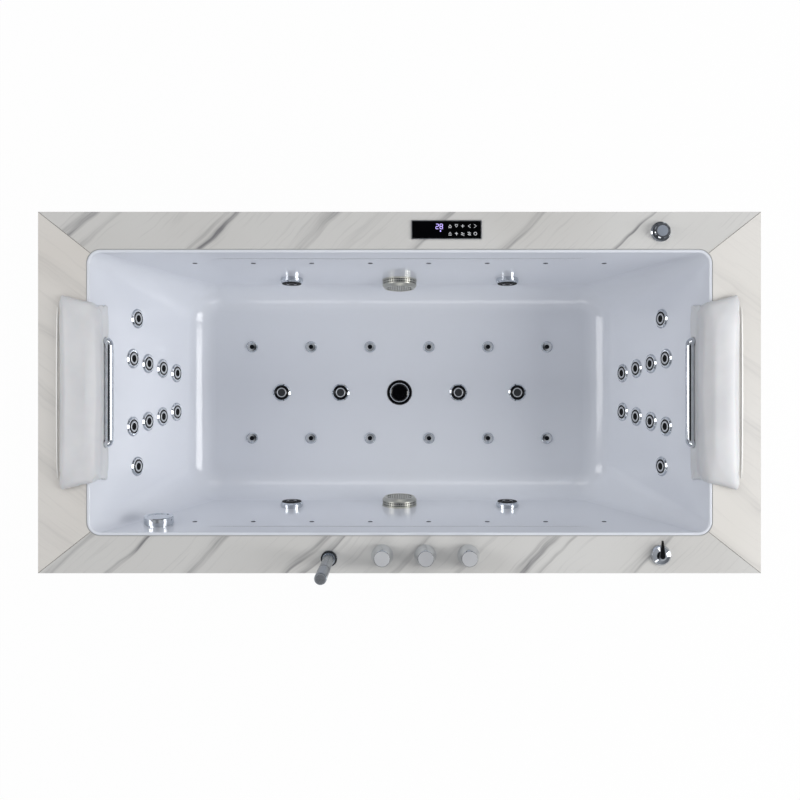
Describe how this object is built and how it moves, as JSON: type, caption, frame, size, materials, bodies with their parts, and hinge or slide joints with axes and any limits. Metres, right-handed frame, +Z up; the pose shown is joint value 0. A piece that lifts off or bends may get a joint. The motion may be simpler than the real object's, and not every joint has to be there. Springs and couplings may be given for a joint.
{
  "type": "jetted bathtub",
  "caption": "Rectangular jetted bathtub with sloping ends, marble-look mitred deck, head pillows, wall and floor jets, deck knobs and a stick hand shower",
  "frame": {"origin": "on the floor under the middle of the deck", "axes": "+X runs along the tub, +Y points to the back side where the touch panel is, +Z points up"},
  "size_m": [1.8, 0.9, 0.885],
  "materials": {
    "acrylic": "glossy white sanitary acrylic",
    "marble_deck": "polished marble-look board with soft grey veins",
    "marble_panel": "marble-look skirt panel, same veining as the deck",
    "galvanised": "galvanised steel tube and plate",
    "chrome_trim": "bright chrome plating",
    "mesh_steel": "perforated stainless suction cover",
    "black_gloss": "glossy black moulding",
    "lens": "small dark light lens",
    "panel_black": "black touch glass",
    "panel_rim": "satin aluminium frame",
    "soft_pu": "soft pale grey polyurethane skin over foam",
    "seal_rubber": "black seal rubber",
    "pvc_white": "white PVC pipe and fittings",
    "valve_brass": "cast brass valve bodies",
    "machine_black": "black painted housings",
    "rotor_plastic": "moulded wheels on steel shafts",
    "box_grey": "grey moulded electronics box",
    "cable_black": "black cable sleeve"
  },
  "bodies": {
    "tub": {"basin_shell": "acrylic", "deck_front": "marble_deck", "deck_back": "marble_deck", "deck_left": "marble_deck", "deck_right": "marble_deck", "skirt_front": "marble_panel", "skirt_back": "marble_panel", "skirt_ends": "marble_panel", "frame_tubes": "galvanised", "frame_fittings": "galvanised", "levelling_feet": "galvanised", "jet_inserts": "black_gloss", "jet_nozzles": "chrome_trim", "end_manifolds": "pvc_white", "side_jet_bodies": "chrome_trim", "suction_bodies": "pvc_white", "suction_covers": "mesh_steel", "wall_light_bodies": "black_gloss", "wall_light_lenses": "lens", "air_jet_bodies": "chrome_trim", "air_jet_caps": "chrome_trim", "small_jet_bodies": "chrome_trim", "drain_flange": "black_gloss", "drain_trim_ring": "chrome_trim", "overflow_body": "chrome_trim", "deck_collars": "chrome_trim", "valve_bodies": "valve_brass", "panel_housing": "panel_rim", "panel_glass": "panel_black", "chrome_bars": "chrome_trim", "backing_nuts": "pvc_white", "pillow_left": "soft_pu", "pillow_right": "soft_pu", "pump_housing": "machine_black", "blower_housing": "machine_black", "control_box": "box_grey", "water_pipes": "pvc_white", "air_pipes": "pvc_white", "waste_pipes": "pvc_white", "plug_cable": "cable_black"},
    "overflow_knob": {"overflow_knob": "chrome_trim"},
    "drain_plug": {"drain_plug": "black_gloss", "plug_seal": "seal_rubber"},
    "knob_diverter": {"knob_diverter": "chrome_trim"},
    "knob_cold": {"knob_cold": "chrome_trim"},
    "knob_hot": {"knob_hot": "chrome_trim"},
    "air_regulator": {"regulator_knob": "chrome_trim"},
    "lever_knob": {"lever_knob": "chrome_trim", "lever_handle": "black_gloss"},
    "hand_shower": {"hand_shower": "chrome_trim"},
    "pump_rotor": {"pump_impeller": "rotor_plastic"},
    "blower_rotor": {"blower_fan": "rotor_plastic"},
    "jet_ring_front_left": {"jet_ring_front_left": "chrome_trim"},
    "jet_ball_front_left": {"jet_ball_front_left": "black_gloss"},
    "jet_ring_front_right": {"jet_ring_front_right": "chrome_trim"},
    "jet_ball_front_right": {"jet_ball_front_right": "black_gloss"},
    "jet_ring_back_left": {"jet_ring_back_left": "chrome_trim"},
    "jet_ball_back_left": {"jet_ball_back_left": "black_gloss"},
    "jet_ring_back_right": {"jet_ring_back_right": "chrome_trim"},
    "jet_ball_back_right": {"jet_ball_back_right": "black_gloss"}
  },
  "joints": [
    {"name": "overflow_turn", "type": "hinge", "parent": "tub", "child": "overflow_knob", "pos_m": [-0.62, -0.33957, 0.512], "axis": [0, 0.9947, 0.1032], "range_deg": [0, 120]},
    {"name": "plug_lift", "type": "slide", "parent": "tub", "child": "drain_plug", "axis": [0, 0, 1], "range_m": [0, 0.012]},
    {"name": "diverter_turn", "type": "hinge", "parent": "tub", "child": "knob_diverter", "pos_m": [-0.043, -0.405, 0.6], "axis": [0, 0, 1], "range_deg": [-45, 45]},
    {"name": "cold_turn", "type": "hinge", "parent": "tub", "child": "knob_cold", "pos_m": [0.064, -0.405, 0.6], "axis": [0, 0, 1], "range_deg": [0, 90]},
    {"name": "hot_turn", "type": "hinge", "parent": "tub", "child": "knob_hot", "pos_m": [0.171, -0.405, 0.6], "axis": [0, 0, 1], "range_deg": [0, 90]},
    {"name": "air_turn", "type": "hinge", "parent": "tub", "child": "air_regulator", "pos_m": [0.65, 0.4, 0.6], "axis": [0, 0, 1], "range_deg": [0, 270]},
    {"name": "lever_turn", "type": "hinge", "parent": "tub", "child": "lever_knob", "pos_m": [0.65, -0.405, 0.6], "axis": [0, 0, 1], "range_deg": [-90, 90]},
    {"name": "shower_lift", "type": "slide", "parent": "tub", "child": "hand_shower", "axis": [0, 0, 1], "range_m": [0, 0.4]},
    {"name": "ring_turn_front_left", "type": "hinge", "parent": "tub", "child": "jet_ring_front_left", "pos_m": [-0.3, -0.31788, 0.303], "axis": [0, 0.9947, 0.1032], "range_deg": [-90, 90]},
    {"name": "ball_tilt_front_left", "type": "hinge", "parent": "jet_ring_front_left", "child": "jet_ball_front_left", "pos_m": [-0.3, -0.31489, 0.30331], "axis": [1, 0, 0], "range_deg": [-15, 15]},
    {"name": "ring_turn_front_right", "type": "hinge", "parent": "tub", "child": "jet_ring_front_right", "pos_m": [0.3, -0.31788, 0.303], "axis": [0, 0.9947, 0.1032], "range_deg": [-90, 90]},
    {"name": "ball_tilt_front_right", "type": "hinge", "parent": "jet_ring_front_right", "child": "jet_ball_front_right", "pos_m": [0.3, -0.31489, 0.30331], "axis": [1, 0, 0], "range_deg": [-15, 15]},
    {"name": "ring_turn_back_left", "type": "hinge", "parent": "tub", "child": "jet_ring_back_left", "pos_m": [-0.3, 0.31788, 0.303], "axis": [0, -0.9947, 0.1032], "range_deg": [-90, 90]},
    {"name": "ball_tilt_back_left", "type": "hinge", "parent": "jet_ring_back_left", "child": "jet_ball_back_left", "pos_m": [-0.3, 0.31489, 0.30331], "axis": [1, 0, 0], "range_deg": [-15, 15]},
    {"name": "ring_turn_back_right", "type": "hinge", "parent": "tub", "child": "jet_ring_back_right", "pos_m": [0.3, 0.31788, 0.303], "axis": [0, -0.9947, 0.1032], "range_deg": [-90, 90]},
    {"name": "ball_tilt_back_right", "type": "hinge", "parent": "jet_ring_back_right", "child": "jet_ball_back_right", "pos_m": [0.3, 0.31489, 0.30331], "axis": [1, 0, 0], "range_deg": [-15, 15]},
    {"name": "pump_spin", "type": "hinge", "parent": "tub", "child": "pump_rotor", "pos_m": [0.778, -0.3, 0.213], "axis": [0, 1, 0], "continuous": true},
    {"name": "blower_spin", "type": "hinge", "parent": "tub", "child": "blower_rotor", "pos_m": [-0.778, -0.23, 0.213], "axis": [0, 1, 0], "continuous": true}
  ],
  "couplings": [
    {"joint": "plug_lift", "follows": "overflow_turn", "m_per_rad": 0.0057238}
  ]
}
